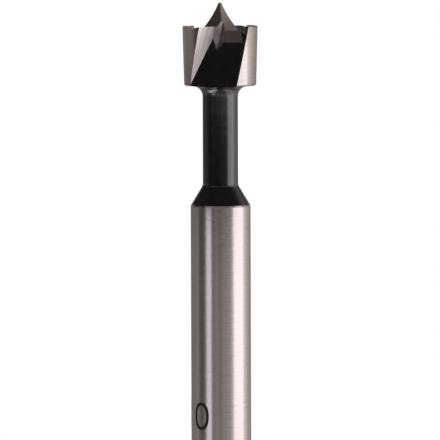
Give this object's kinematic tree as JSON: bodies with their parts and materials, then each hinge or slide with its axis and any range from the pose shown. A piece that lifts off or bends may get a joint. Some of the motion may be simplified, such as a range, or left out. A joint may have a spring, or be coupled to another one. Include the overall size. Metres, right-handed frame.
{
  "type": "forstner bit",
  "caption": "Forstner bit with a round shank, slim neck, two-winged cutting head with rim cutters and lips, and a pyramid centre point, for boring flat-bottomed holes in wood.",
  "frame": {"origin": "centre of the flat end of the shank", "axes": "+Z along the bit's axis towards the centre point; one flute opens towards -Y, the other towards +Y"},
  "size_m": [0.01, 0.0086, 0.09],
  "materials": {
    "steel": "ground bright on the shank, rim, rake faces and point; black oxide on the neck, shoulder and flutes"
  },
  "bodies": {
    "root": {"forstner_bit": "steel"}
  },
  "joints": []
}
